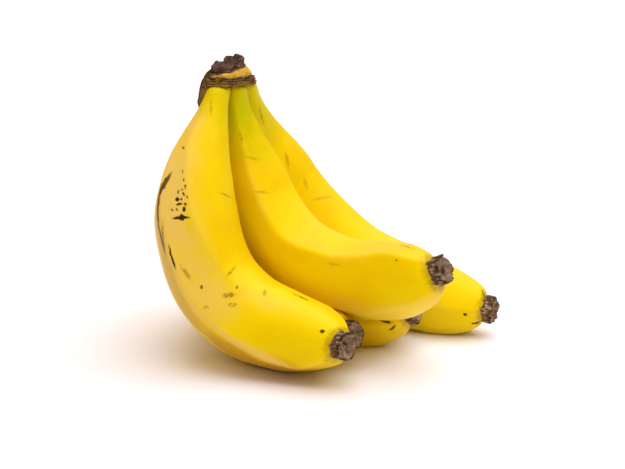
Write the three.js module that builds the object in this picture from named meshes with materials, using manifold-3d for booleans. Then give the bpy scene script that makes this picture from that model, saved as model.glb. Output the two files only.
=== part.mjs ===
// A hand of five bananas, standing on a table with its cut crown up: three fingers side by side in the upper
// row, and two in the valleys under them. Millimetres, +Z up.
// The origin is the middle of the footprint, on the table.
import Module from "manifold-3d";
import * as THREE from "three";
import { mergeVertices } from "three/addons/utils/BufferGeometryUtils.js";

// Each finger: its spine from just inside the crown to its blunt dry end, its body's radius across the
// round section, the shares of its length where the neck has filled out and where the blunt end starts to
// close, and its ridges. A ridge has its direction in degrees from the hollow side round by the front, at the
// places of RIDGE_PLACES or the same all along, and may have a height, a width and a place where it fades out.
const FINGERS = [
  {
    name: "banana_front",
    girth: 19,
    fills: 0.4,
    closes: 0.56,
    ridges: [{ at: [125, 118, 108, 111, 168], height: 0.19, width: 17 },
      { at: [91, 75, 55, 40, 30], height: 0.13, until: 0.8 }, { at: [190, 188, 186, 200, 245] },
      { at: [255, 255, 255, 265, 300] }, { at: [322, 322, 322, 330, 350] }],
    spine: [[-52, 14, 129], [-57, 5, 110], [-62, -6, 90], [-64, -12, 72], [-61, -16, 54], [-54, -20, 37],
      [-41, -26, 25], [-24, -35, 20], [-8, -47, 20], [6, -61, 21]],
  },
  {
    name: "banana_middle",
    girth: 16.4,
    fills: 0.32,
    closes: 0.74,
    ridges: [{ at: [55, 49, 50, 37, 30], height: 0.2, width: 18 }, { at: 120, height: 0.15 }, { at: 192 },
      { at: 264 }, { at: 336 }],
    spine: [[-46, 18, 129], [-45, 19, 110], [-40, 20, 84], [-31, 16, 63], [-17, 6, 46], [2, -8, 38],
      [22, -22, 39], [37, -34, 44], [50, -43, 51]],
  },
  {
    name: "banana_back",
    girth: 16.7,
    fills: 0.32,
    closes: 0.7,
    ridges: [{ at: 60, height: 0.18 }, { at: 130 }, { at: 195 }, { at: 255 }, { at: 318 }],
    spine: [[-42, 25, 129], [-39, 33, 110], [-33, 43, 89], [-18, 47, 63], [9, 42, 35], [36, 34, 22],
      [57, 26, 16], [81, 15, 14]],
  },
  {
    name: "banana_under_front",
    girth: 13.8,
    fills: 0.32,
    closes: 0.7,
    ridges: [{ at: 0 }, { at: 72 }, { at: 144 }, { at: 216 }, { at: 288 }],
    spine: [[-52, 24, 129], [-58, 28, 106], [-64, 29, 80], [-63, 26, 49], [-51, 16, 21], [-27, -2, 14],
      [-7, -19, 14], [10, -36, 18]],
  },
  {
    name: "banana_under_back",
    girth: 14.3,
    fills: 0.32,
    closes: 0.72,
    ridges: [{ at: 0 }, { at: 72 }, { at: 144 }, { at: 216 }, { at: 288 }],
    spine: [[-46, 29, 129], [-51, 40, 104], [-55, 49, 75], [-50, 49, 44], [-34, 41, 18], [-7, 23, 14],
      [19, 5, 14], [41, -4, 20]],
  },
];
const NECK_RADIUS = 5.4;
const DRY_END_RADIUS = 5.8;
const DRY_END_LENGTH = 5;
const RIDGE_PLACES = [0.1, 0.3, 0.5, 0.7, 0.9]; // shares of the length, evenly spaced
const RIDGE_HEIGHT = 0.19; // share of the radius
const RIDGE_WIDTH = 20; // degrees
const CREST = 4; // degrees that a ridge is rounded over
const RIDGE_FADE = 0.4; // share of the length that a ridge fades out over

// The crown: an oval block where the necks meet, with a band, a narrow waist and a ragged cut top.
const CROWN = { x: -47.5, y: 21, underside: 124, halfLong: 14.5, halfShort: 10, turned: 55 };
const CROWN_TOP_SHIFT = -2; // the cut top stands off to the left
const CROWN_PROFILE = [[0, 0], [0.9, 0], [1, 1], [0.98, 5], [0.88, 6.2], [0.88, 7.9], [0.7, 9], [0.64, 10.4],
  [0.61, 12.4], [0.52, 13], [0.36, 11.6], [0, 11.2]]; // share of the oval, height over the underside
const RIM_HEIGHT = 11; // from here up the crown is ragged
// A dried flap of the crown hangs down the outer side of the front neck.
const FLAP_ROUTE = [[-55, 17, 133], [-59, 14, 129], [-62, 11, 123], [-64, 7, 114.5]];
const FLAP_RADIUS = 2.2;

const GAP = 0.9; // kept between neighbours, before their facets
const AROUND = 20; // sides of a finger
const ROWS = 38; // rings along a finger
const CROWN_AROUND = 36;
const SHORTEST_EDGE = 0.02;
const SAMPLES = 96; // steps that a spine is measured in
const PEEL = { color: 0xf6cf08, roughness: 0.5, metalness: 0 };
const CROWN_SKIN = { color: 0x69441a, roughness: 0.85, metalness: 0 };

const wasm = await Module();
wasm.setup();

const radians = THREE.MathUtils.degToRad;
const lerp = THREE.MathUtils.lerp;
const smooth = THREE.MathUtils.smoothstep;

// Radius of the round body at a fraction of the length: slim neck, body that fills out forward, blunt end.
function radiusAt(finger, t) {
  const fullness = lerp(0.92, 1, smooth(t, 0.3, 0.65));
  const body = lerp(NECK_RADIUS, finger.girth * fullness, smooth(t, 0.03, finger.fills));
  const closed = 1 - DRY_END_LENGTH / finger.length;
  const closing = THREE.MathUtils.clamp((t - finger.closes) / (closed - finger.closes), 0, 1);
  return lerp(DRY_END_RADIUS, body, Math.pow(1 - Math.pow(closing, 2.5), 0.6));
}

// Direction of a ridge at a fraction of the length.
function ridgeWay(ridge, t) {
  if (!Array.isArray(ridge.at)) return ridge.at;
  const [first, last] = [RIDGE_PLACES[0], RIDGE_PLACES.at(-1)];
  const knots = new THREE.SplineCurve(ridge.at.map((way, i) => new THREE.Vector2(RIDGE_PLACES[i], way)));
  return knots.getPoint(THREE.MathUtils.clamp((t - first) / (last - first), 0, 1)).y;
}

// Radius factor of the section: round, with ridges along it.
function sectionAt(finger, t, angle) {
  const crest = radians(CREST);
  let factor = 1;
  for (const ridge of finger.ridges) {
    const { height = RIDGE_HEIGHT, width = RIDGE_WIDTH, until } = ridge;
    const turn = angle - radians(ridgeWay(ridge, t)) + Math.PI;
    const off = THREE.MathUtils.euclideanModulo(turn, 2 * Math.PI) - Math.PI;
    const fade = smooth(t, 0, 0.15) * (until ? 1 - smooth(t, until - RIDGE_FADE, until) : 1);
    factor += height * fade * Math.exp((crest - Math.hypot(off, crest)) / radians(width));
  }
  return factor;
}

function curveThrough(points) {
  return new THREE.CatmullRomCurve3(points.map((p) => new THREE.Vector3(...p)), false, "catmullrom");
}

// Evenly spaced places along the spine, each with its radius and its directions to the hollow side and to
// the front.
function measure(finger) {
  const curve = curveThrough(finger.spine);
  finger.length = curve.getLength();
  const points = curve.getSpacedPoints(SAMPLES);
  const chordMiddle = new THREE.Vector3().addVectors(points[0], points[SAMPLES]).multiplyScalar(0.5);
  const towardsHollow = chordMiddle.sub(points[SAMPLES / 2]).normalize();
  finger.places = points.map((at, i) => {
    const [before, after] = [points[Math.max(i - 1, 0)], points[Math.min(i + 1, SAMPLES)]];
    const along = new THREE.Vector3().subVectors(after, before).normalize();
    const front = new THREE.Vector3().crossVectors(along, towardsHollow).normalize();
    const hollow = new THREE.Vector3().crossVectors(front, along);
    return { at, front, hollow, radius: radiusAt(finger, i / SAMPLES) };
  });
}

// The place at a fraction of the length, between the two measured ones.
function placeAt(finger, t) {
  const step = Math.min(Math.floor(t * SAMPLES), SAMPLES - 1);
  const [a, b] = [finger.places[step], finger.places[step + 1]];
  const between = (key) => new THREE.Vector3().lerpVectors(a[key], b[key], t * SAMPLES - step);
  return { at: between("at"), front: between("front"), hollow: between("hollow") };
}

// How far a point lies outside a finger's round body: negative inside it.
function outside(point, finger) {
  let least = Infinity;
  for (const place of finger.places) least = Math.min(least, point.distanceTo(place.at) - place.radius);
  return least;
}

// Where a finger presses on its neighbours, its skin is pulled in toward its spine, until it is nearer its
// own finger than theirs. The faces they share come out flat.
function pressIn(point, from, finger) {
  const fits = (p) => {
    const mine = outside(p, finger);
    return FINGERS.every((other) => other === finger || mine + GAP / 2 <= outside(p, other));
  };
  if (fits(point)) return point;
  let inner = 0;
  let outer = 1;
  for (let i = 0; i < 12; i++) {
    const middle = (inner + outer) / 2;
    if (fits(from.clone().lerp(point, middle))) inner = middle;
    else outer = middle;
  }
  return from.clone().lerp(point, inner);
}

// A finger's profile before it is bent, as [share of the radius, fraction of the length]. Rings are closer
// together at both ends, and the dry end is dished.
function fingerProfile(finger) {
  const mm = 1 / finger.length;
  const rows = [[0, 0]];
  for (let i = 0; i <= ROWS; i++) {
    const even = i / ROWS;
    const packed = even - 0.55 * Math.sin(2 * Math.PI * even) / (2 * Math.PI);
    rows.push([1, packed * (1 - 1.2 * mm)]);
  }
  rows.push([0.9, 1], [0.62, 1], [0.5, 1 - 1.3 * mm], [0, 1 - 1.5 * mm]);
  return rows.map(([share, t]) => new THREE.Vector2(share, t));
}

// The finger's skin: its straight profile turned, then bent along the spine, pressed and settled on the
// table.
function fingerSkin(finger) {
  const skin = new THREE.LatheGeometry(fingerProfile(finger), AROUND);
  const position = skin.getAttribute("position");
  for (let i = 0; i < position.count; i++) {
    const share = Math.hypot(position.getX(i), position.getZ(i));
    const angle = Math.atan2(-position.getZ(i), position.getX(i));
    const t = THREE.MathUtils.clamp(position.getY(i), 0, 1);
    const { at, front, hollow } = placeAt(finger, t);
    const r = share * radiusAt(finger, t) * sectionAt(finger, t, angle);
    const point = at.clone()
      .addScaledVector(hollow, r * Math.cos(angle))
      .addScaledVector(front, r * Math.sin(angle));
    const pressed = pressIn(point, at, finger);
    position.setXYZ(i, pressed.x, pressed.y, Math.max(pressed.z, 0));
  }
  return sealed(skin);
}

function sealed(geometry) {
  geometry.deleteAttribute("normal");
  geometry.deleteAttribute("uv");
  return mergeVertices(geometry, 1e-3);
}

function solid(geometry) {
  const vertProperties = geometry.getAttribute("position").array;
  const triVerts = new Uint32Array(geometry.index.array);
  return new wasm.Manifold(new wasm.Mesh({ numProp: 3, vertProperties, triVerts }));
}

// The surface of a joined or cut body, with its shortest edges closed up.
function geometryOf(manifold) {
  const { vertProperties, triVerts } = manifold.getMesh();
  const raw = new THREE.BufferGeometry();
  raw.setAttribute("position", new THREE.BufferAttribute(vertProperties, 3));
  raw.setIndex(new THREE.BufferAttribute(triVerts, 1));
  const geometry = mergeVertices(raw, SHORTEST_EDGE);
  const corners = geometry.index.array;
  const kept = [];
  for (let i = 0; i < corners.length; i += 3) {
    const [a, b, c] = corners.subarray(i, i + 3);
    if (a !== b && b !== c && c !== a) kept.push(a, b, c);
  }
  geometry.setIndex(kept);
  return geometry;
}

function piece(name, geometry, look) {
  const mesh = new THREE.Mesh(geometry, new THREE.MeshStandardMaterial(look));
  mesh.name = name;
  return mesh;
}

// A finger, cut off level under the crown.
function banana(finger) {
  const above = new THREE.BoxGeometry(200, 200, 40);
  above.translate(0, 0, CROWN.underside - GAP / 2 + 20);
  return piece(finger.name, geometryOf(solid(fingerSkin(finger)).subtract(solid(sealed(above)))), PEEL);
}

// The block of the crown, turned as an oval, with waves and notches round its cut rim.
function crownBlock() {
  const profile = CROWN_PROFILE.map(([share, height]) => new THREE.Vector2(share, height));
  const block = new THREE.LatheGeometry(profile, CROWN_AROUND);
  const position = block.getAttribute("position");
  const turned = radians(CROWN.turned);
  const top = CROWN_PROFILE.at(-1)[1];
  for (let i = 0; i < position.count; i++) {
    const height = position.getY(i);
    const share = Math.hypot(position.getX(i), position.getZ(i));
    const angle = Math.atan2(-position.getZ(i), position.getX(i));
    const flutes = 1 + 0.05 * Math.sin(5 * angle + 0.6) + 0.03 * Math.sin(9 * angle);
    const long = CROWN.halfLong * share * flutes * Math.cos(angle);
    const short = CROWN.halfShort * share * flutes * Math.sin(angle);
    const waves = 4 * Math.cos(angle + 0.9) + 0.9 * Math.sin(4 * angle) + 0.7 * Math.sin(7 * angle + 1);
    const rim = smooth(height, RIM_HEIGHT - 4, RIM_HEIGHT) * share * waves;
    position.setXYZ(i,
      CROWN.x + long * Math.cos(turned) - short * Math.sin(turned) + CROWN_TOP_SHIFT * height / top,
      CROWN.y + long * Math.sin(turned) + short * Math.cos(turned),
      CROWN.underside + height + rim);
  }
  return sealed(block);
}

// The flap: a rod that thins toward its end, bent down the outer side of the front neck.
function crownFlap() {
  const route = curveThrough(FLAP_ROUTE);
  const shares = [[0, 0], [1, 0.02], [1, 0.2], [0.92, 0.4], [0.8, 0.6], [0.62, 0.8], [0.4, 0.96], [0, 1]];
  const rod = new THREE.LatheGeometry(shares.map(([share, t]) => new THREE.Vector2(share, t)), 10);
  const position = rod.getAttribute("position");
  const back = new THREE.Vector3(0, 1, 0);
  for (let i = 0; i < position.count; i++) {
    const t = THREE.MathUtils.clamp(position.getY(i), 0, 1);
    const along = route.getTangentAt(t);
    const out = new THREE.Vector3().crossVectors(along, back).normalize();
    const side = new THREE.Vector3().crossVectors(out, along);
    const here = route.getPointAt(t)
      .addScaledVector(out, FLAP_RADIUS * 0.7 * position.getX(i))
      .addScaledVector(side, FLAP_RADIUS * 1.4 * position.getZ(i));
    position.setXYZ(i, here.x, here.y, here.z);
  }
  return sealed(rod);
}

function crown() {
  return piece("crown", geometryOf(solid(crownBlock()).add(solid(crownFlap()))), CROWN_SKIN);
}

FINGERS.forEach(measure);
const hand = new THREE.Group();
hand.add(crown());
for (const finger of FINGERS) hand.add(banana(finger));

export default hand;
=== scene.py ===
"""A hand of five ripe bananas with its cut crown up, lying on white paper. Blender 4.5, metres, +Z up."""
import math

import bpy
import numpy as np
from mathutils import Matrix, Vector, noise


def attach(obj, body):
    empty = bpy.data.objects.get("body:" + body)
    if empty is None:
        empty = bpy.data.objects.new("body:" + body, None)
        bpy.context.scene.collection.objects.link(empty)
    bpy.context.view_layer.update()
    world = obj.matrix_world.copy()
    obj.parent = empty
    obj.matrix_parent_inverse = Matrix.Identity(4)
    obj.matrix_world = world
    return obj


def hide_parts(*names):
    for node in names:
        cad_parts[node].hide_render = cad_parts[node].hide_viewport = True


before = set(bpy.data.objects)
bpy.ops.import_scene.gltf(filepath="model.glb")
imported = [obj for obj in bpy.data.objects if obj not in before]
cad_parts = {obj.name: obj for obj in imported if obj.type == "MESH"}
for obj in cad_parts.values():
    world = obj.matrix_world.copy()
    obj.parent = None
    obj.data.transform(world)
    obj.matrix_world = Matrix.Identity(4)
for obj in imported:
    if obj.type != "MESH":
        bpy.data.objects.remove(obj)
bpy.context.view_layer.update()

bl_info = {
    "name": "Hand of bananas",
    "version": (1, 0, 0),
    "blender": (4, 5, 0),
    "location": "View3D > Sidebar > Bananas",
    "description": "Builds a hand of ripe bananas, its dried crown and the white paper it lies on",
    "category": "Add Mesh",
}

MM = 0.001

# Each fruit: its body's radius, the shares of its length where the neck has filled out and where the blunt
# end starts to close, its ridges, and its spine in millimetres from the crown to the dry end.
# A ridge is its direction in degrees from the hollow side round by the front, at the places of RIDGE_PLACES
# or the same all along, then its height as a share of the radius, its width in degrees and where it fades
# out. Most ridges end with PLAIN_RIDGE.
RIDGE_PLACES = (0.1, 0.3, 0.5, 0.7, 0.9)
CREST = math.radians(4)  # a ridge is rounded over this
RIDGE_FADE = 0.4  # share of the length that a ridge fades out over
PLAIN_RIDGE = (0.19, 20, None)
EVEN_RIDGES = tuple((72 * side, *PLAIN_RIDGE) for side in range(5))
FRUIT = {
    "banana_front": (
        19, 0.4, 0.56,
        (((125, 118, 108, 111, 168), 0.19, 17, None),
         ((91, 75, 55, 40, 30), 0.13, 20, 0.8),
         ((190, 188, 186, 200, 245), *PLAIN_RIDGE),
         ((255, 255, 255, 265, 300), *PLAIN_RIDGE),
         ((322, 322, 322, 330, 350), *PLAIN_RIDGE)),
        ((-52, 14, 129), (-57, 5, 110), (-62, -6, 90), (-64, -12, 72), (-61, -16, 54), (-54, -20, 37),
         (-41, -26, 25), (-24, -35, 20), (-8, -47, 20), (6, -61, 21))),
    "banana_middle": (
        16.4, 0.32, 0.74,
        (((55, 49, 50, 37, 30), 0.2, 18, None), (120, 0.15, 20, None), (192, *PLAIN_RIDGE),
         (264, *PLAIN_RIDGE), (336, *PLAIN_RIDGE)),
        ((-46, 18, 129), (-45, 19, 110), (-40, 20, 84), (-31, 16, 63), (-17, 6, 46), (2, -8, 38),
         (22, -22, 39), (37, -34, 44), (50, -43, 51))),
    "banana_back": (
        16.7, 0.32, 0.7,
        ((60, 0.18, 20, None), (130, *PLAIN_RIDGE), (195, *PLAIN_RIDGE), (255, *PLAIN_RIDGE),
         (318, *PLAIN_RIDGE)),
        ((-42, 25, 129), (-39, 33, 110), (-33, 43, 89), (-18, 47, 63), (9, 42, 35), (36, 34, 22),
         (57, 26, 16), (81, 15, 14))),
    "banana_under_front": (
        13.8, 0.32, 0.7, EVEN_RIDGES,
        ((-52, 24, 129), (-58, 28, 106), (-64, 29, 80), (-63, 26, 49), (-51, 16, 21), (-27, -2, 14),
         (-7, -19, 14), (10, -36, 18))),
    "banana_under_back": (
        14.3, 0.32, 0.72, EVEN_RIDGES,
        ((-46, 29, 129), (-51, 40, 104), (-55, 49, 75), (-50, 49, 44), (-34, 41, 18), (-7, 23, 14),
         (19, 5, 14), (41, -4, 20))),
}
STATIONS = 240  # steps along a spine
SPAN_POINTS = 40  # points worked out between two given ones of a curve
PRESS_STEPS = 11  # halvings that find where a skin is pressed to

# The crown, in millimetres, apart from its turn.
CROWN_UNDERSIDE = 124
CROWN_MIDDLE = (-47.5, 21)
CROWN_HALF = (14.5, 10)  # half the length and width of its oval
CROWN_TURNED = math.radians(55)
CROWN_LEAN, CROWN_LEAN_HEIGHT = -2, 11.4  # it leans this far along X at this height over its underside
# Outline of the crown, as shares of its oval and heights over its underside: wrinkled band, groove, pale
# cushion, waist, ragged stub and the sunken cut.
CROWN_OUTLINE = (
    (0, 2.2), (0.6, 2), (0.86, 1.6), (0.97, 1.8), (1.0, 2.2), (1.01, 2.7), (0.955, 3.1), (0.99, 3.5),
    (1.0, 3.9), (0.95, 4.4), (0.98, 4.9), (0.93, 5.4), (0.85, 5.6), (0.87, 6.2), (0.88, 7.1), (0.85, 7.9),
    (0.77, 8.6), (0.69, 9), (0.65, 9.5), (0.64, 10.5), (0.65, 11.5), (0.62, 12.5), (0.55, 13.1), (0.48, 12.7),
    (0.38, 11.4), (0.25, 10.4), (0.12, 10.7), (0, 10.4))
NECK_TOP = 1.8  # the necks end this far over the crown's underside
STUB_ROWS = (17, 18)  # the stub starts between these points of the outline
FLAP_ROUTE = ((-54.5, 16, 133), (-58, 13.5, 129.5), (-60.8, 10.5, 123.5), (-62.3, 7.5, 116.5))

# Marks on the peel, fruit by fruit. Each is its place in millimetres from the crown and in degrees round from
# the hollow side, its length and width in millimetres, its tilt from the fruit's length in degrees, and how
# strong it is. Scars are thin and dark, bruises soft and olive brown. The broad, pale, dull patches are
# partly rubbed peel and partly painted reflection of the white surroundings, most on the front fruit's left
# face.
SCARS = {
    "banana_front": (
        (56, 113, 12, 2.4, 26, 0.9), (65, 122, 14, 3.6, 14, 0.9), (75, 123, 12, 2.4, 0, 0.8),
        (83, 108, 10, 1.1, -2, 1), (40, 93, 1.8, 1.2, -40, 0.8), (50, 83, 1.4, 0.7, 0, 0.8),
        (53, 79, 1.3, 0.7, 0, 0.8), (56, 77, 1.6, 0.8, 0, 0.9), (57, 82, 1.2, 0.8, 30, 0.8),
        (58, 88, 1.5, 0.8, 20, 0.9), (59, 79, 1.8, 0.9, -30, 0.9), (60, 74, 1.8, 0.8, 0, 0.8),
        (61, 89, 2, 1.8, 0, 1), (61, 83, 1.6, 1, 60, 0.9), (63, 86, 3.4, 1.1, -90, 1),
        (63, 77, 1.6, 1, 10, 0.9), (65, 90, 1.3, 0.9, -40, 0.8), (65, 80, 2, 1.7, 10, 1),
        (65, 97, 1.3, 0.9, -70, 0.7), (68, 86, 8, 1.2, -88, 1), (68, 85, 2.4, 2.6, 0, 1),
        (67, 325, 4, 2, 0, 0.9), (172, 82, 2, 1.8, 50, 1), (100, 86, 2.2, 1.4, 17, 0.8),
        (113, 50, 2, 1.3, 30, 0.7), (151, 15, 6, 1.2, 14, 0.8), (136, 172, 11, 1, 25, 0.6),
        (90, 240, 6, 1, 10, 0.8), (128, 265, 3, 1.4, 40, 0.8),
    ),
    "banana_middle": (
        (178, 80, 1.8, 1.8, 30, 1), (177, 22, 4, 1.9, 50, 1), (164, 353, 9, 0.7, 0, 0.6),
        (177, 149, 5, 1, -40, 0.8), (62, 98, 2.5, 1.4, 10, 0.6), (164, 37, 1.4, 0.8, 10, 0.8),
    ),
    "banana_back": (
        (185, 69, 2, 1.5, 45, 1), (189, 108, 4, 1.3, 35, 1), (191, 349, 7, 0.9, 40, 1),
        (162, 124, 7, 0.7, -10, 0.5), (88, 220, 9, 1.2, 12, 0.8), (120, 250, 3, 1.6, 30, 0.8),
        (70, 205, 3, 1, 70, 0.8),
    ),
    "banana_under_front": (
        (70, 110, 8, 1, 10, 0.8), (98, 150, 3, 1.5, 40, 0.8), (150, 90, 5, 1, -20, 0.8),
    ),
    "banana_under_back": (
        (80, 100, 7, 1.2, -15, 0.8), (110, 140, 3, 1.6, 30, 0.9), (60, 200, 10, 0.9, 5, 0.7),
        (199, 60, 5, 1.2, 20, 0.9), (201, 80, 4, 1.4, -30, 0.9),
    ),
}
BRUISES = {
    "banana_front": (
        (76, 118, 13, 2, 20, 0.7), (101, 42, 8, 2.2, 54, 0.6), (113, 65, 6, 3, -34, 0.75),
        (119, 73, 5, 2.2, -19, 0.6), (132, 36, 5, 2.2, 53, 0.5), (91, 97, 7, 1.6, -16, 0.5),
        (109, 96, 2.4, 1.5, -42, 0.5), (57, 1, 9, 1.2, -82, 0.5), (147, 12, 10, 2.6, 14, 0.55),
        (16, 65, 8, 1.2, -15, 0.4), (75, 230, 12, 3, 8, 0.4),
    ),
    "banana_middle": (
        (26, 53, 5.5, 1.3, 0, 0.5), (38, 37, 7.5, 1.2, -60, 0.35), (58, 41, 8.5, 1.2, -57, 0.35),
        (128, 47, 7.5, 1, 0, 0.3),
    ),
    "banana_back": (
        (20, 19, 9, 1.7, 15, 0.45), (50, 16, 8, 2, 25, 0.4), (69, 10, 6.5, 2.2, 15, 0.3),
        (83, 359, 15, 1.4, -60, 0.3), (100, 235, 10, 4, 5, 0.4), (60, 225, 5, 3, 30, 0.4),
    ),
    "banana_under_front": (
        (60, 130, 9, 3, 10, 0.4), (120, 120, 7, 3, 0, 0.4),
    ),
    "banana_under_back": (
        (70, 160, 9, 3, -10, 0.4), (95, 120, 6, 3, 20, 0.4),
    ),
}
SCUFFS_AND_REFLECTIONS = {
    "banana_front": (
        (56, 105, 56, 20, -9, 1), (98, 88, 46, 18, -6, 0.65), (30, 110, 24, 11, -7, 0.8),
        (132, 50, 46, 8, 5, 0.3),
    ),
    "banana_middle": (
        (131, 23, 72, 6, -6, 0.2), (153, 122, 50, 7, 14, 0.3),
    ),
    "banana_back": (
        (154, 16, 30, 7, -6, 0.3), (90, 200, 50, 12, 6, 0.6),
    ),
    "banana_under_front": (
        (75, 125, 45, 12, 5, 0.5),
    ),
    "banana_under_back": (
        (80, 150, 50, 12, -5, 0.6),
    ),
}
# The front fruit's lowest ridge has a pale highlight painted along it, and the face under that ridge has
# ochre shade painted on it.
RIDGE_HIGHLIGHTS = {
    "banana_front": (
        (96, 108, 44, 3, 0, 0.8), (129, 115, 30, 3, 17, 0.9), (147, 140, 28, 3, 31, 0.9),
    ),
}
UNDERSIDE_SHADE = {
    "banana_front": (
        (95, 131, 56, 14, 0, 0.45), (132, 146, 40, 15, 20, 0.65), (152, 176, 34, 15, 30, 0.75),
    ),
}
# How green the neck of each fruit still is.
GREENNESS = {
    "banana_front": 0.45, "banana_middle": 1.0, "banana_back": 0.7, "banana_under_front": 0.6,
    "banana_under_back": 0.6,
}
MARK_DEPTH = 6  # least half depth of a mark in millimetres, so that it follows the curve of the skin
# Where the peel changes, in millimetres: GREEN_NECK from the crown, the others from the dry end's tip.
GREEN_NECK = (14, 50)
DRIED = (4.9, 4.2)
SINGED = (7.5, 4.6)


def linear(hex_colour):
    """An sRGB hex colour as the linear one that Blender works in."""
    parts = [int(hex_colour[i:i + 2], 16) / 255 for i in (1, 3, 5)]
    return tuple(c / 12.92 if c <= 0.04045 else ((c + 0.055) / 1.055) ** 2.4 for c in parts)


def length_property(name, description, millimetres):
    return bpy.props.FloatProperty(name=name, description=description, default=millimetres * MM,
                                   unit="LENGTH", precision=4)


def colour_property(name, description, hex_colour):
    return bpy.props.FloatVectorProperty(name=name, description=description, subtype="COLOR", min=0, max=1,
                                         default=linear(hex_colour))


class HandSizes(bpy.types.PropertyGroup):
    """Sizes that all the fruit share."""
    neck_radius: length_property("Neck radius", "Radius of a neck where it leaves the crown", 5.4)
    dry_end_radius: length_property("Dry end radius", "Radius of the dried blossom end", 5.8)
    dry_end_length: length_property("Dry end length", "How far the dried blossom end stands out", 5)
    gap: length_property("Gap", "Space kept between neighbouring fruit", 0.5)
    shoulder: length_property("Shoulder", "Height over which a neck rounds in under the crown", 2.4)
    flap_width: length_property("Flap width", "Width of the dried flap under the crown", 5.2)


class HandColours(bpy.types.PropertyGroup):
    """Colours of the peel and of what has dried on it."""
    ripe: colour_property("Ripe peel", "Yellow of the ripe peel", "#f3d504")
    deep: colour_property("Deep peel", "Warmer yellow in blotches and between fibres", "#f0c904")
    # Painted highlight: the lighter yellow laid along the ridges stands in for light catching them.
    pale: colour_property("Pale crest", "Lighter yellow along the ridges", "#fbd936")
    green: colour_property("Green neck", "Unripe green left at the necks", "#cac404")
    # Partly dull rubbed peel, partly painted reflection; also the front fruit's painted ridge highlight.
    scuff_and_reflection: colour_property("Scuffed peel", "Paler, duller peel where a face is rubbed", "#eeca60")
    # Painted shade: used only for the ochre shade painted on the front fruit's underside face.
    brown: colour_property("Underside shade", "Ochre painted as shade on the front fruit's underside", "#b2700a")
    bruise: colour_property("Bruise", "Faint olive brown of a bruise", "#8f6c1c")
    scar: colour_property("Scar", "Dark brown of scars and dots", "#3b200c")
    dry_end: colour_property("Dry end", "Brown of the dried blossom end", "#5c4531")
    dry_face: colour_property("Dry end's face", "Grey brown of its broken face", "#94795f")
    dry_pale: colour_property("Dry end, pale", "Greyish fibres on the dried end", "#b09a84")
    bark: colour_property("Crown band", "Brown of the wrinkled band round the necks", "#8c6e30")
    bark_red: colour_property("Red bark", "Reddish patches on the band", "#8a4f30")
    # Also paints shade nearly black into the crown's folds, its groove and the flap's edges.
    bark_dark: colour_property("Dark bark", "Nearly black brown in folds and edges", "#2a1a0d")
    stub: colour_property("Crown stub", "Grey brown of the torn, dried stub", "#62493a")
    flesh: colour_property("Crown cushion", "Yellow tissue over the crown's band", "#d6aa30")
    flesh_deep: colour_property("Deep cushion", "Orange streaks in the tissue", "#c4862c")
    sheen: colour_property("Sheen", "Yellow that the wax gives to what it reflects", "#ffd23c")
    paper: colour_property("Paper", "White of the paper that the hand lies on", "#f6f6f6")


class StageSettings(bpy.types.PropertyGroup):
    """Camera and light."""
    lens: bpy.props.FloatProperty(name="Lens", description="Focal length", default=75, min=20, max=200,
                                  unit="CAMERA")
    distance: length_property("Distance", "Camera to the middle of the picture", 620)
    elevation: bpy.props.FloatProperty(name="Elevation", description="Camera's angle above the table",
                                       default=math.radians(14), subtype="ANGLE")
    key: bpy.props.FloatProperty(name="Key light", description="Strength of the softbox overhead",
                                 default=3.0)
    front: bpy.props.FloatProperty(name="Front light", description="Strength of the softbox by the camera",
                                   default=0.8)
    back: bpy.props.FloatProperty(name="Back light", description="Strength of the softbox behind the hand",
                                  default=0.6)
    spread: bpy.props.FloatProperty(name="Spread", description="How wide a softbox looks from the table",
                                    default=math.radians(75), subtype="ANGLE")
    light_colour: colour_property("Light colour", "Cool light of the softboxes", "#e6ecfc")
    fill: bpy.props.FloatProperty(name="Fill light", description="Strength of the light from the room",
                                  default=0.42)
    fill_colour: colour_property("Fill colour", "Warm light that the room sends back", "#ffc470")


def smooth(x, low, high):
    t = np.clip((x - low) / (high - low), 0, 1)
    return t * t * (3 - 2 * t)


def mix(a, b, share):
    return a + (b - a) * share


def unit(vectors):
    return vectors / np.linalg.norm(vectors, axis=-1, keepdims=True)


def spline(a, b, c, d, t):
    """Catmull-Rom curve from b to c."""
    return b + 0.5 * ((c - a) * t + (2 * a - 5 * b + 4 * c - d) * t ** 2 + (3 * b - a - 3 * c + d) * t ** 3)


def curve_through(points, count):
    """Evenly spaced points on the smooth curve through the given ones, and its length."""
    p = np.array(points, float)
    p = np.vstack([2 * p[0] - p[1], p, 2 * p[-1] - p[-2]])
    t = np.linspace(0, 1, SPAN_POINTS, endpoint=False)[:, None]
    fine = np.vstack([*(spline(a, b, c, d, t) for a, b, c, d in zip(p, p[1:], p[2:], p[3:])), p[-2]])
    reach = np.concatenate([[0], np.cumsum(np.linalg.norm(np.diff(fine, axis=0), axis=1))])
    even = np.linspace(0, reach[-1], count)
    return np.stack([np.interp(even, reach, fine[:, k]) for k in range(3)], 1), reach[-1]


def ridge_way(way, t):
    """Direction of a ridge along the length: smooth through its given ones."""
    if not isinstance(way, tuple):
        return way
    step = np.clip((t - RIDGE_PLACES[0]) / (RIDGE_PLACES[1] - RIDGE_PLACES[0]), 0, len(way) - 1)
    i = np.minimum(step.astype(int), len(way) - 2)
    ends = np.array([way[0], *way, way[-1]])
    a, b, c, d = ends[i], ends[i + 1], ends[i + 2], ends[i + 3]
    return spline(a, b, c, d, step - i)


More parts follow.
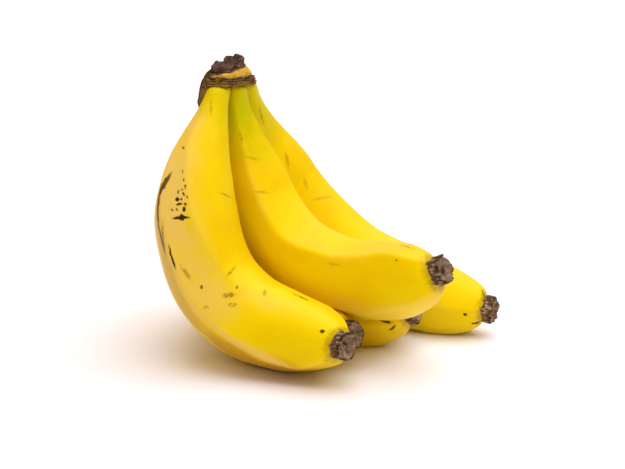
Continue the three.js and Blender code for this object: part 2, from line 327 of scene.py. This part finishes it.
class Finger:
    """One fruit in millimetres: a five-sided section carried along its bent spine."""

    def __init__(self, name, sizes):
        girth, fills, closes, ridges, spine = FRUIT[name]
        self.name, self.girth, self.fills, self.closes = name, girth, fills, closes
        self.ridges = ridges
        self.neck, self.tip = sizes.neck_radius / MM, sizes.dry_end_radius / MM
        self.at, self.length = curve_through(spine, STATIONS + 1)
        self.closed = 1 - sizes.dry_end_length / MM / self.length
        towards = (self.at[0] + self.at[-1]) / 2 - self.at[STATIONS // 2]
        along = unit(np.gradient(self.at, axis=0))
        self.front = unit(np.cross(along, towards))
        self.hollow = np.cross(self.front, along)
        self.shares = np.linspace(0, 1, STATIONS + 1)
        self.radii = self.radius(self.shares)

    def radius(self, t):
        """Radius without the ridges: a slim neck, a full body and a blunt end round the dry one."""
        body = mix(self.neck, self.girth * mix(0.92, 1, smooth(t, 0.3, 0.65)), smooth(t, 0.03, self.fills))
        closing = np.clip((t - self.closes) / (self.closed - self.closes), 0, 1)
        return mix(self.tip, body, (1 - closing ** 2.5) ** 0.6)

    def ridge_shapes(self, t, angle):
        """Each ridge's height as a share of the radius, and how much of it a place of the skin has."""
        for way, height, width, until in self.ridges:
            centre = np.radians(ridge_way(way, t))
            off = (angle - centre + np.pi) % (2 * np.pi) - np.pi
            fade = smooth(t, 0, 0.15) * (1 - smooth(t, until - RIDGE_FADE, until) if until else 1)
            yield height, fade * np.exp((CREST - np.hypot(off, CREST)) / math.radians(width))

    def section(self, t, angle):
        """Radius factor of the section: round, with ridges along it."""
        return 1 + sum(height * share for height, share in self.ridge_shapes(t, angle))

    def ridge(self, t, angle):
        """1 along the ridges' crests, falling to 0 a little way off them."""
        return sum(share ** 6 for _, share in self.ridge_shapes(t, angle))

    def place(self, t):
        """Points of the spine, and the directions to the front and to the hollow side there."""
        return [np.stack([np.interp(t, self.shares, way[:, k]) for k in range(3)], -1)
                for way in (self.at, self.front, self.hollow)]

    def outside(self, points):
        """How far points lie outside the fruit's round body."""
        least = np.full(len(points), np.inf)
        for at, radius in zip(self.at[::2], self.radii[::2]):
            least = np.minimum(least, np.linalg.norm(points - at, axis=1) - radius)
        return least


def press_in(points, cores, finger, others, gap):
    """Draws a skin in toward its spine where it would come nearer a neighbour than half the gap allows."""
    near = [other for other in others if other.outside(points).min() < finger.girth]

    def crowded(p):
        mine = finger.outside(p) + gap / 2
        result = np.zeros(len(p), bool)
        for other in near:
            result |= mine > other.outside(p)
        return result

    pressed = points.copy()
    which = np.flatnonzero(crowded(points))
    low, high = np.zeros(len(which)), np.ones(len(which))
    start, reach = cores[which], points[which] - cores[which]
    for _ in range(PRESS_STEPS):
        middle = (low + high) / 2
        hit = crowded(start + reach * middle[:, None])
        high, low = np.where(hit, middle, high), np.where(hit, low, middle)
    pressed[which] = start + reach * low[:, None]
    return pressed


def waves(points, size, seed, octaves=3):
    """Smooth noise about -1 to 1 at points in millimetres, with features of the given size."""
    offset = Vector((seed * 17.3, seed * 5.1, seed * 11.7))  # takes each seed to noise of its own
    flat = points.reshape(-1, 3) / size
    values = [noise.fractal(Vector(p) + offset, 1.0, 2.0, octaves) for p in flat]
    return np.array(values).reshape(points.shape[:-1])


def skin_object(name, rings, attributes):
    """A closed mesh in metres from rings of points in millimetres; each end ring is drawn to one point."""
    rows, around = rings.shape[:2]
    points = np.vstack([rings.reshape(-1, 3), rings[0].mean(0), rings[-1].mean(0)]) * MM
    row, column = np.meshgrid(np.arange(rows - 1) * around, np.arange(around), indexing="ij")
    beside = (column + 1) % around
    quads = np.stack([row + column, row + beside, row + around + beside, row + around + column], -1)
    first, last = rows * around, rows * around + 1
    ring = np.arange(around)
    after = (ring + 1) % around
    base = (rows - 1) * around
    fans = [(first, int(b), int(a)) for a, b in zip(ring, after)]
    fans += [(last, int(base + a), int(base + b)) for a, b in zip(ring, after)]
    mesh = bpy.data.meshes.new(name)
    mesh.from_pydata(points.tolist(), [], quads.reshape(-1, 4).tolist() + fans)
    for key, values in attributes.items():
        flat = values.reshape(rows * around, -1)
        ends = [values[row].reshape(around, -1).mean(0) for row in (0, -1)]
        flat = np.vstack([flat, *ends])
        kind, field = ("FLOAT_VECTOR", "vector") if flat.shape[1] == 3 else ("FLOAT", "value")
        mesh.attributes.new(key, kind, "POINT").data.foreach_set(field, flat.astype(np.float32).ravel())
    mesh.shade_smooth()
    made = bpy.data.objects.new(name, mesh)
    bpy.context.collection.objects.link(made)
    return made


def add_node(tree, kind, links=None, **settings):
    """Adds a node, sets its settings, then sets or links its inputs."""
    made = tree.nodes.new(kind)
    for key, value in settings.items():
        setattr(made, key, value)
    for socket, value in (links or {}).items():
        if isinstance(value, bpy.types.NodeSocket):
            tree.links.new(value, made.inputs[socket])
        else:
            made.inputs[socket].default_value = value
    return made


def new_material(name):
    material = bpy.data.materials.new(name)
    material.use_nodes = True
    material.node_tree.nodes.clear()
    return material, material.node_tree


def opaque(colour):
    return (*colour, 1)


def marked(tree, finger, where, marks, softness):
    """1 inside any of the marks, fading out at their edges."""
    total = 0
    for along, degrees, long, wide, tilt, strength in marks:
        angle, t = np.radians(degrees), np.array(along / finger.length)
        r = float(finger.radius(t) * finger.section(t, angle))
        centre = Vector((along, r * math.cos(angle), r * math.sin(angle))) * MM
        turn = Matrix.Rotation(angle, 3, "X") @ Matrix.Rotation(math.radians(-tilt), 3, "Y")
        local = add_node(tree, "ShaderNodeMapping", {
            "Vector": where, "Location": centre, "Rotation": turn.to_euler("XYZ"),
            "Scale": (long / 2 * MM, max(MARK_DEPTH, long / 3) * MM, wide / 2 * MM)}, vector_type="TEXTURE")
        away = add_node(tree, "ShaderNodeVectorMath", {0: local.outputs[0]}, operation="LENGTH")
        inside = add_node(tree, "ShaderNodeMapRange", {
            "Value": away.outputs["Value"], "From Min": 1 - softness / 2, "From Max": 1 + softness / 2,
            "To Min": strength, "To Max": 0}, interpolation_type="SMOOTHSTEP").outputs[0]
        total = add_node(tree, "ShaderNodeMath", {0: total, 1: inside}, operation="MAXIMUM").outputs[0]
    return total


def stirred(tree, where, size, amount):
    """Coordinates shaken by noise, so that an outline drawn in them is ragged. Sizes are in millimetres."""
    grain = add_node(tree, "ShaderNodeTexNoise", {"Vector": where, "Scale": 1 / (size * MM), "Detail": 2})
    centred = add_node(tree, "ShaderNodeVectorMath", {0: grain.outputs["Color"], 1: (0.5, 0.5, 0.5)},
                       operation="SUBTRACT")
    return add_node(tree, "ShaderNodeVectorMath", {0: centred.outputs[0], 1: (amount * MM,) * 3, 2: where},
                    operation="MULTIPLY_ADD").outputs[0]


def blotches(tree, where, size, low, high, most=1, stretch=(1, 1, 1)):
    """Noise with features of a size in millimetres: 0 under low, the most over high."""
    scaled = add_node(tree, "ShaderNodeVectorMath", {0: where, 1: stretch}, operation="MULTIPLY")
    grain = add_node(tree, "ShaderNodeTexNoise", {"Vector": scaled.outputs[0], "Scale": 1 / (size * MM),
                                                  "Detail": 3})
    return add_node(tree, "ShaderNodeMapRange", {
        "Value": grain.outputs["Fac"], "From Min": low, "From Max": high, "To Max": most},
        interpolation_type="SMOOTHSTEP").outputs[0]


def product(tree, *masks):
    """Where all the masks overlap."""
    total = masks[0]
    for mask in masks[1:]:
        total = add_node(tree, "ShaderNodeMath", {0: total, 1: mask}, operation="MULTIPLY").outputs[0]
    return total


def layered(tree, base, layers):
    """The base colour with the colour of each layer laid over it where the layer's mask is."""
    colour = opaque(base)
    for mask, over in layers:
        colour = add_node(tree, "ShaderNodeMix", {"Factor": mask, "A": colour, "B": opaque(over)},
                          data_type="RGBA").outputs["Result"]
    return colour


def surface(tree, colour, roughness, height, relief, specular, tint=(1, 1, 1)):
    """The material's end: a principled shader over a fine relief of the given depth in millimetres."""
    bump = add_node(tree, "ShaderNodeBump", {"Height": height, "Distance": relief * MM, "Strength": 1})
    shader = add_node(tree, "ShaderNodeBsdfPrincipled", {
        "Base Color": colour, "Roughness": roughness, "Normal": bump.outputs[0],
        "Specular IOR Level": specular, "Specular Tint": opaque(tint)})
    add_node(tree, "ShaderNodeOutputMaterial", {"Surface": shader.outputs[0]})


def banana_peel(finger, colours):
    """Ripe peel: its thin wax gives a broad, soft, yellowish shine over long fibres. It is greenish by the
    crown, dull and paler where it is rubbed, the paler tint partly painted reflection, and dried hard, brown
    and rough at the blossom end. Highlights are painted pale along the ridges, and shade is painted ochre on
    the front fruit's underside face."""
    material, tree = new_material("Waxy ripe banana peel " + finger.name)
    seed = list(FRUIT).index(finger.name)
    straight = add_node(tree, "ShaderNodeAttribute", attribute_name="straight").outputs["Vector"]
    ridge, face, rim = (add_node(tree, "ShaderNodeAttribute", attribute_name=name).outputs["Fac"]
                        for name in ("ridge", "face", "rim"))
    # Every fruit has a stretch of the patterns to itself. A pattern's first number is its size on the peel in
    # millimetres. The fibres are about half a millimetre apart, and drawn twice as coarse so that they show.
    own = add_node(tree, "ShaderNodeVectorMath", {0: straight, 1: (0.4 * seed, 0, 0)}).outputs[0]
    ragged = stirred(tree, straight, 1.6, 1.3)
    cloudy = stirred(tree, straight, 9, 7)

    mottled = blotches(tree, own, 24, 0.42, 0.62, 0.7)
    fibres = blotches(tree, own, 1.1, 0.35, 0.75, 0.3, (0.03, 1, 1))
    # Painted highlight: pale yellow along the ridges' crests, where light catches them.
    crest_highlight = product(tree, ridge, blotches(tree, own, 16, 0.36, 0.56, 0.55, (0.4, 1, 1)))
    # Pale, dull patches: partly rubbed peel, partly painted reflection of the white surroundings.
    scuff_and_reflection = product(tree, marked(tree, finger, cloudy, SCUFFS_AND_REFLECTIONS[finger.name], 1.3),
                      blotches(tree, own, 5, 0.2, 0.5, 1, (0.4, 1, 1)))
    # Painted highlight along the front fruit's lowest ridge.
    rubbed = marked(tree, finger, ragged, RIDGE_HIGHLIGHTS.get(finger.name, ()), 1.2)
    # Painted shade: ochre on the face under the front fruit's lowest ridge.
    underside_shade = marked(tree, finger, ragged, UNDERSIDE_SHADE.get(finger.name, ()), 0.9)
    bruised = product(tree, marked(tree, finger, ragged, BRUISES[finger.name], 1.1),
                      blotches(tree, own, 1.8, 0.25, 0.55, 1.2))
    scarred = marked(tree, finger, ragged, SCARS[finger.name], 0.6)
    freckled = product(tree, blotches(tree, own, 0.9, 0.72, 0.76, 0.7), blotches(tree, own, 12, 0.5, 0.6))

    along = add_node(tree, "ShaderNodeSeparateXYZ", {0: straight}).outputs["X"]
    neck = add_node(tree, "ShaderNodeMapRange", {
        "Value": along, "From Min": GREEN_NECK[0] * MM, "From Max": GREEN_NECK[1] * MM,
        "To Min": GREENNESS[finger.name], "To Max": 0}, interpolation_type="SMOOTHSTEP").outputs[0]
    greenish = product(tree, neck, blotches(tree, own, 6, 0.2, 0.5, 1, (0.3, 1, 1)))
    frayed = add_node(tree, "ShaderNodeSeparateXYZ", {0: stirred(tree, straight, 2.2, 3.5)}).outputs["X"]
    end = finger.length * MM
    dried = add_node(tree, "ShaderNodeMapRange", {
        "Value": frayed, "From Min": end - DRIED[0] * MM, "From Max": end - DRIED[1] * MM},
        interpolation_type="SMOOTHSTEP").outputs[0]
    singed = add_node(tree, "ShaderNodeMapRange", {
        "Value": frayed, "From Min": end - SINGED[0] * MM, "From Max": end - SINGED[1] * MM,
        "To Max": 0.5}, interpolation_type="SMOOTHSTEP").outputs[0]

    colour = layered(tree, colours.ripe, (
        (mottled, colours.deep), (fibres, colours.deep), (crest_highlight, colours.pale), (greenish, colours.green),
        (scuff_and_reflection, colours.scuff_and_reflection), (underside_shade, colours.brown), (rubbed, colours.scuff_and_reflection),
        (bruised, colours.bruise), (freckled, colours.bruise), (scarred, colours.scar),
        (singed, colours.bruise), (dried, colours.dry_end), (face, colours.dry_face),
        (product(tree, dried, blotches(tree, own, 3, 0.5, 0.64, 0.6, (0.6, 1, 1))), colours.bark_dark),
        (product(tree, dried, blotches(tree, own, 1.4, 0.5, 0.6, 0.8, (0.6, 1, 1))), colours.dry_pale),
        (product(tree, rim, blotches(tree, own, 2.5, 0.38, 0.52, 0.85)), colours.bark_dark)))
    dull = add_node(tree, "ShaderNodeMath", {0: scuff_and_reflection, 1: dried}, operation="MAXIMUM").outputs[0]
    roughness = add_node(tree, "ShaderNodeMapRange", {"Value": dull, "To Min": 0.4, "To Max": 0.8}).outputs[0]
    grain = product(tree, dried, blotches(tree, own, 0.8, 0.3, 0.7, 3, (0.4, 1, 1)))
    height = add_node(tree, "ShaderNodeMath", {0: fibres, 1: grain}, operation="ADD").outputs[0]
    surface(tree, colour, roughness, height, relief=0.12, specular=0.3, tint=colours.sheen)
    return material


class BANANAS_OT_fruit(bpy.types.Operator):
    """Makes the five fruit of the hand"""
    bl_idname = "bananas.fruit"
    bl_label = "Fruit"

    def execute(self, context):
        sizes, colours = context.scene.hand_sizes, context.scene.hand_colours
        fingers = [Finger(name, sizes) for name in FRUIT]
        for finger in fingers:
            others = [other for other in fingers if other is not finger]
            made = fruit_skin(finger, others, sizes)
            made.data.materials.append(banana_peel(finger, colours))
            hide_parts(finger.name)
            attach(made, "root")
        return {"FINISHED"}


BODY_ROWS, END_ROWS, AROUND = 200, 26, 120  # rings of the body and of its last stretch, points of a ring
END_STRETCH = 0.02  # that stretch starts this share of the length before the dry end
# Rings over the face of the dry end: their share of its radius, and how far they stand out in millimetres.
FACE_ROWS = ((0.97, 0.35), (0.9, 0.55), (0.8, 0.4), (0.7, -0.5), (0.6, -1.3), (0.45, -1.6), (0.3, -1.4),
             (0.2, -0.9), (0.1, -0.6))
# Sizes and depths of the relief in millimetres.
DENT_SIZE, DENT_DEPTH = 22, 0.35
CRUMPLE_SIZE, CRUMPLE_DEPTH = 3, 0.5
TEAR_SIZE, FINE_TEAR_SIZE, FINE_TEAR_DEPTH = 3, 1.3, 0.4
NECK_TUCK = 0.3  # share of its radius that a neck draws in where it meets the crown


def fruit_skin(finger, others, sizes):
    """The whole skin of a fruit, from the flat top of its neck to the sunken face of its dry end."""
    t = np.concatenate([np.linspace(0, finger.closed - END_STRETCH, BODY_ROWS, endpoint=False),
                        np.linspace(finger.closed - END_STRETCH, 1, END_ROWS)])
    share = np.ones(len(t))
    rise = np.zeros(len(t))
    t = np.append(t, np.ones(len(FACE_ROWS)))
    share = np.append(share, [s for s, _ in FACE_ROWS])
    rise = np.append(rise, [h for _, h in FACE_ROWS])
    angle = np.linspace(0, 2 * np.pi, AROUND, endpoint=False)
    t2, angle2 = np.meshgrid(t, angle, indexing="ij")
    at, front, hollow = finger.place(t2)
    out = hollow * np.cos(angle2)[..., None] + front * np.sin(angle2)[..., None]
    share2 = share[:, None] + 0 * t2
    full = finger.radius(t2) * finger.section(t2, angle2) * share2
    straight = np.stack([t2 * finger.length, full * np.cos(angle2), full * np.sin(angle2)], -1)
    seed = 1 + list(FRUIT).index(finger.name)
    body = smooth(t2, 0.02, 0.15)
    dry = smooth(t2, finger.closed - 0.012, finger.closed + 0.008)
    dents = waves(straight * (0.5, 1, 1), DENT_SIZE, seed) * DENT_DEPTH * body * (1 - dry)
    crumple = waves(straight * (0.4, 1, 1), CRUMPLE_SIZE, seed + 10) * CRUMPLE_DEPTH * dry
    radius = full + (dents + crumple) * share2
    coarse_tears = waves(straight * (0, 1, 1), TEAR_SIZE, seed + 20)
    fine_tears = waves(straight, FINE_TEAR_SIZE, seed + 30) * FINE_TEAR_DEPTH
    torn = (coarse_tears + fine_tears) * (t2 >= 0.999)  # on the last ring and the face
    axis = unit(np.cross(hollow, front))
    rings = at + out * radius[..., None] + axis * (rise[:, None] + torn)[..., None]
    points = rings.reshape(-1, 3)
    points = press_in(points, at.reshape(-1, 3), finger, others, sizes.gap / MM)
    rings = points.reshape(rings.shape)
    top = CROWN_UNDERSIDE + NECK_TOP
    under = np.clip((top - rings[..., 2]) / (sizes.shoulder / MM), 0, 1)
    neck = at[np.argmin(np.abs(at[:, 0, 2] - top)), 0]
    tuck = NECK_TUCK * (1 - np.sqrt(1 - (1 - under) ** 2))
    rings[..., :2] += (neck[:2] - rings[..., :2]) * tuck[..., None]
    rings[..., 2] = np.clip(rings[..., 2], 0, top)
    face = smooth(1 - share2, 0.05, 0.2)
    rim = smooth(t2, 1 - 0.3 * (1 - finger.closed), 1) * (1 - face)
    rim = np.maximum(rim, 1 - smooth(share2, 0.15, 0.45))  # the hollow in the middle is as dark as the rim
    return skin_object(finger.name.replace("banana", "fruit"), rings, {
        "straight": straight * MM, "ridge": finger.ridge(t2, angle2), "face": face, "rim": rim})


class BANANAS_OT_crown(bpy.types.Operator):
    """Makes the dried crown where the necks meet, and the flap that hangs from it"""
    bl_idname = "bananas.crown"
    bl_label = "Crown"

    def execute(self, context):
        bark = crown_bark(context.scene.hand_colours)
        for made in (crown_block(), crown_flap(context.scene.hand_sizes)):
            made.data.materials.append(bark)
            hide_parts("crown")
            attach(made, "root")
        return {"FINISHED"}


CROWN_ROWS, CROWN_AROUND = 180, 160
STUB_SLANT = 4  # rise toward one end of the oval, at the oval's full width; the stub has its share of it
WRINKLE_SIZE, WRINKLE_DEPTHS = 3.0, (0.5, 0.9)  # on the band and on the stub
STUB_TEAR_SIZE, STUB_TEAR_DEPTH = 3.2, 1.3


def crown_block():
    """The block: a wrinkled band, a cushion of pale tissue at its right front, and the torn, hollow stub."""
    profile = np.array(CROWN_OUTLINE)
    dense = np.linspace(0, len(profile) - 1, CROWN_ROWS)
    share = np.interp(dense, range(len(profile)), profile[:, 0])
    height = np.interp(dense, range(len(profile)), profile[:, 1])
    angle = np.linspace(0, 2 * np.pi, CROWN_AROUND, endpoint=False)
    share2, angle2 = np.meshgrid(share, angle, indexing="ij")
    height2 = height[:, None] + 0 * angle2
    flutes = 1 + 0.05 * np.sin(5 * angle2 + 0.6) + 0.03 * np.sin(9 * angle2)
    long = CROWN_HALF[0] * share2 * flutes * np.cos(angle2)
    short = CROWN_HALF[1] * share2 * flutes * np.sin(angle2)
    swell = STUB_SLANT * np.cos(angle2 + 0.06) + 0.9 * np.sin(4 * angle2) + 0.7 * np.sin(7 * angle2 + 1)
    rim = smooth(height2, 7, 11) * share2 * swell
    c, s = math.cos(CROWN_TURNED), math.sin(CROWN_TURNED)
    shift = CROWN_LEAN * np.clip(height2 / CROWN_LEAN_HEIGHT, 0, 1.2)
    rings = np.stack([CROWN_MIDDLE[0] + long * c - short * s + shift,
                      CROWN_MIDDLE[1] + long * s + short * c,
                      CROWN_UNDERSIDE + height2 + rim], -1)
    world = angle2 + CROWN_TURNED
    out = np.stack([np.cos(world), np.sin(world), np.zeros_like(world)], -1)
    leftward = smooth(-np.cos(world - math.radians(20)), 0.1, 0.8)
    on_stub = smooth(dense[:, None] + 3.5 * leftward, *STUB_ROWS)
    band = smooth(height2, 1.6, 3) * (1 - smooth(height2, 5, 6.5))
    rings[..., 2] += waves(out * 10, 6, 45) * 1.1 * band
    wrinkle = waves(rings * (0.5, 0.5, 2.2), WRINKLE_SIZE, 41) * mix(*WRINKLE_DEPTHS, on_stub)
    wrinkle = wrinkle + waves(rings, 1.2, 42) * 0.2
    rough = smooth(share2, 0.2, 0.5)
    rings = rings + out * (wrinkle * rough)[..., None]
    tears = waves(rings, STUB_TEAR_SIZE, 43) * STUB_TEAR_DEPTH
    tears = tears + waves(rings, FINE_TEAR_SIZE, 44) * FINE_TEAR_DEPTH
    rings[..., 2] += tears * on_stub
    facing = np.cos(world + math.radians(45))
    flesh = smooth(facing, 0.02, 0.3) * smooth(height2, 5.6, 6.2) * (1 - on_stub)
    # Painted shade: the groove and the hollows of the wrinkles are marked to be painted nearly black.
    groove = smooth(0.985 - share2, 0, 0.03) * (1 - smooth(height2, 5.8, 6.1)) * (share2 > 0.8)
    fold_shade = np.maximum(groove, smooth(-wrinkle, 0.15, 0.7) * (1 - flesh))
    return skin_object("crown_block", rings, {"flesh": flesh, "fold_shade": fold_shade, "stub": on_stub})


FLAP_ROWS, FLAP_AROUND = 70, 40


def crown_flap(sizes):
    """The flap: a dried strip that tapers downward, its two thick edges rolled forward."""
    at, _ = curve_through(FLAP_ROUTE, FLAP_ROWS)
    along = unit(np.gradient(at, axis=0))
    across = unit(np.cross(along, (0, 1, 0)))
    toward = np.cross(along, across)
    t, turn = np.meshgrid(np.linspace(0, 1, FLAP_ROWS),
                          np.linspace(0, 2 * np.pi, FLAP_AROUND, endpoint=False), indexing="ij")
    taper = np.interp(t, (0, 0.2, 0.6, 0.9, 1), (0.9, 1, 0.8, 0.5, 0.12))
    u = np.cos(turn)
    half = sizes.flap_width / MM / 2 * taper
    depth = (0.3 + 0.5 * u ** 2) * taper * np.sin(turn) + 1.5 * u ** 2 * taper - 0.4
    rings = at[:, None] + across[:, None] * (half * u)[..., None] + toward[:, None] * depth[..., None]
    shake = np.stack([waves(rings * (1, 1, 0.6), 3, seed) for seed in (51, 52, 53)], -1)
    # Painted shade: the flap's edges and lower end are marked to be painted dark.
    edge = smooth(np.abs(u), 0.6, 0.9)
    return skin_object("crown_flap", rings + shake * 0.4, {
        "flesh": 0 * t, "fold_shade": np.maximum(edge, smooth(t, 0.85, 1)), "stub": 0.25 + 0 * t})


def crown_bark(colours):
    """Dried banana stalk: dull, wrinkled brown bark with shade painted nearly black into its folds, a torn
    grey-brown stub, and a smoother patch of yellow tissue."""
    material, tree = new_material("Dried banana crown")
    flesh, fold_shade, stub = (add_node(tree, "ShaderNodeAttribute", attribute_name=name).outputs["Fac"]
                         for name in ("flesh", "fold_shade", "stub"))
    place = add_node(tree, "ShaderNodeTexCoord").outputs["Object"]
    fibres = blotches(tree, place, 0.9, 0.4, 0.7, 0.5, (1, 1, 0.25))
    colour = layered(tree, colours.bark, (
        (blotches(tree, place, 5, 0.54, 0.64, 0.7), colours.bark_red),
        (blotches(tree, place, 2.2, 0.5, 0.66, 0.6, (0.5, 0.5, 1)), colours.bark_dark),
        (stub, colours.stub), (product(tree, stub, fibres), colours.bark_dark),
        (product(tree, stub, blotches(tree, place, 1.5, 0.58, 0.68, 0.6)), colours.dry_pale),
        # Painted shade in the folds, the groove and the flap's edges.
        (product(tree, fold_shade, blotches(tree, place, 3, 0.32, 0.5, 0.95)), colours.bark_dark),
        (flesh, colours.flesh),
        (product(tree, flesh, blotches(tree, place, 3, 0.48, 0.66, 0.9, (1, 1, 0.5))), colours.flesh_deep)))
    roughness = add_node(tree, "ShaderNodeMapRange", {
        "Value": flesh, "To Min": 0.8, "To Max": 0.5}).outputs[0]
    surface(tree, colour, roughness, fibres, relief=0.3, specular=0.2)
    return material


class BANANAS_OT_stage(bpy.types.Operator):
    """Makes the paper, the light and the camera"""
    bl_idname = "bananas.stage"
    bl_label = "Stage"

    def execute(self, context):
        scene = context.scene
        stage = scene.stage_settings
        lay_paper(scene.hand_colours)
        for name, energy, towards in (("softbox_overhead", stage.key, OVERHEAD),
                                      ("softbox_front", stage.front, BY_THE_CAMERA),
                                      ("softbox_back", stage.back, BEHIND)):
            add_softbox(name, energy, towards, stage)
        scene.world = room_light(stage)
        scene.camera = add_camera(stage)
        scene.view_settings.view_transform = "Standard"
        return {"FINISHED"}


PAPER_REACH = 40  # metres from the hand to the edges of the paper
OVERHEAD, BY_THE_CAMERA, BEHIND = (0.3, 0.06, 1), (-0.1, -0.8, 1), (0.1, 1, 0.7)  # from the hand
HORIZON_SHARE = 0.08  # the room's light at the horizon, as a share of that from above
FULL_FROM = 0.6  # sine of the elevation from which on the room's light is full
PICTURE_MIDDLE = (-9, -2, 57)  # millimetres
SENSOR_WIDTH = 36  # millimetres
CLIP_START, CLIP_END = 0.01, 200  # metres


def seamless_paper(colours):
    """Matte white paper: flat and without shine, so that only the soft shadow shows on it."""
    material, tree = new_material("White seamless paper")
    shader = add_node(tree, "ShaderNodeBsdfPrincipled", {
        "Base Color": opaque(colours.paper), "Roughness": 0.9, "Specular IOR Level": 0.1})
    add_node(tree, "ShaderNodeOutputMaterial", {"Surface": shader.outputs[0]})
    return material


def lay_paper(colours):
    mesh = bpy.data.meshes.new("paper")
    corners = [(x * PAPER_REACH, y * PAPER_REACH, 0) for x, y in ((-1, -1), (1, -1), (1, 1), (-1, 1))]
    mesh.from_pydata(corners, [], [(0, 1, 2, 3)])
    paper = bpy.data.objects.new("paper", mesh)
    bpy.context.collection.objects.link(paper)
    mesh.materials.append(seamless_paper(colours))


def add_softbox(name, energy, towards, stage):
    sun = bpy.data.lights.new(name, "SUN")
    sun.energy = energy
    sun.angle = stage.spread
    sun.color = stage.light_colour
    lamp = bpy.data.objects.new(name, sun)
    lamp.rotation_euler = Vector(towards).to_track_quat("Z", "Y").to_euler()
    bpy.context.collection.objects.link(lamp)


def room_light(stage):
    """Warm light from the room, dimmer toward the horizon."""
    world = bpy.data.worlds.new("room")
    world.use_nodes = True
    tree = world.node_tree
    tree.nodes.clear()
    direction = add_node(tree, "ShaderNodeTexCoord").outputs["Generated"]
    upward = add_node(tree, "ShaderNodeSeparateXYZ", {0: direction}).outputs["Z"]
    strength = add_node(tree, "ShaderNodeMapRange", {
        "Value": upward, "From Max": FULL_FROM, "To Min": HORIZON_SHARE * stage.fill,
        "To Max": stage.fill}).outputs[0]
    light = add_node(tree, "ShaderNodeBackground", {
        "Color": opaque(stage.fill_colour), "Strength": strength})
    add_node(tree, "ShaderNodeOutputWorld", {"Surface": light.outputs[0]})
    return world


def add_camera(stage):
    lens = bpy.data.cameras.new("camera")
    lens.lens = stage.lens
    lens.sensor_width = SENSOR_WIDTH
    lens.clip_start, lens.clip_end = CLIP_START, CLIP_END
    camera = bpy.data.objects.new("camera", lens)
    back = Vector((0, -math.cos(stage.elevation), math.sin(stage.elevation)))
    camera.location = Vector(PICTURE_MIDDLE) * MM + back * stage.distance
    camera.rotation_euler = back.to_track_quat("Z", "Y").to_euler()
    bpy.context.collection.objects.link(camera)
    return camera


class BANANAS_PT_panel(bpy.types.Panel):
    """Lists the operators and the settings"""
    bl_label = "Hand of bananas"
    bl_space_type = "VIEW_3D"
    bl_region_type = "UI"
    bl_category = "Bananas"

    def draw(self, context):
        for operator in OPERATORS:
            self.layout.operator(operator.bl_idname)
        for group in (context.scene.hand_sizes, context.scene.hand_colours, context.scene.stage_settings):
            box = self.layout.box()
            for name in group.__annotations__:
                box.prop(group, name)


OPERATORS = (BANANAS_OT_fruit, BANANAS_OT_crown, BANANAS_OT_stage)
CLASSES = (HandSizes, HandColours, StageSettings, *OPERATORS, BANANAS_PT_panel)


def register():
    for cls in CLASSES:
        bpy.utils.register_class(cls)
    bpy.types.Scene.hand_sizes = bpy.props.PointerProperty(type=HandSizes)
    bpy.types.Scene.hand_colours = bpy.props.PointerProperty(type=HandColours)
    bpy.types.Scene.stage_settings = bpy.props.PointerProperty(type=StageSettings)


def unregister():
    del bpy.types.Scene.hand_sizes
    del bpy.types.Scene.hand_colours
    del bpy.types.Scene.stage_settings
    for cls in reversed(CLASSES):
        bpy.utils.unregister_class(cls)


def main():
    register()
    bpy.ops.bananas.fruit()
    bpy.ops.bananas.crown()
    bpy.ops.bananas.stage()


if __name__ == "__main__":
    main()
